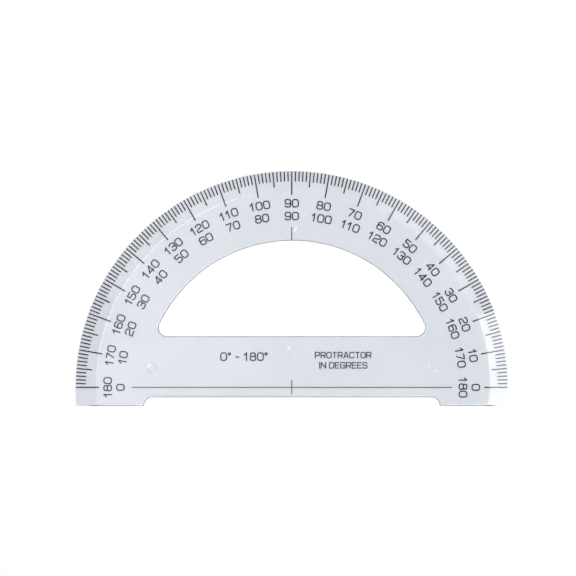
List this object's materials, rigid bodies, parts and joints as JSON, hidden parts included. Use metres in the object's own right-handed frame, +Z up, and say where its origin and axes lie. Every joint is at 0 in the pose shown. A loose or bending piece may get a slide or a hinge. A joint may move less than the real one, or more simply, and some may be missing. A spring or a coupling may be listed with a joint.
{
  "type": "protractor",
  "caption": "Clear plastic half-circle protractor with a bevelled rim, a D-shaped window, two feet and a degree scale numbered both ways.",
  "frame": {"origin": "the vertex, where the base line crosses the 90 degree line, on the underside of the plate", "axes": "+X along the base line towards 0 degrees on the outer row of numbers, +Y towards 90 degrees, +Z up out of the face that is read"},
  "size_m": [0.1, 0.0543, 0.0018],
  "materials": {
    "clear_plastic": "polished clear polystyrene",
    "black_ink": "matt black ink"
  },
  "bodies": {
    "root": {"plate": "clear_plastic", "one_degree_ticks": "black_ink", "five_degree_ticks": "black_ink", "ten_degree_ticks": "black_ink", "outer_numbers": "black_ink", "inner_numbers": "black_ink", "base_line": "black_ink", "ninety_degree_line": "black_ink", "range_legend": "black_ink", "name_legend": "black_ink", "unit_legend": "black_ink"}
  },
  "joints": []
}
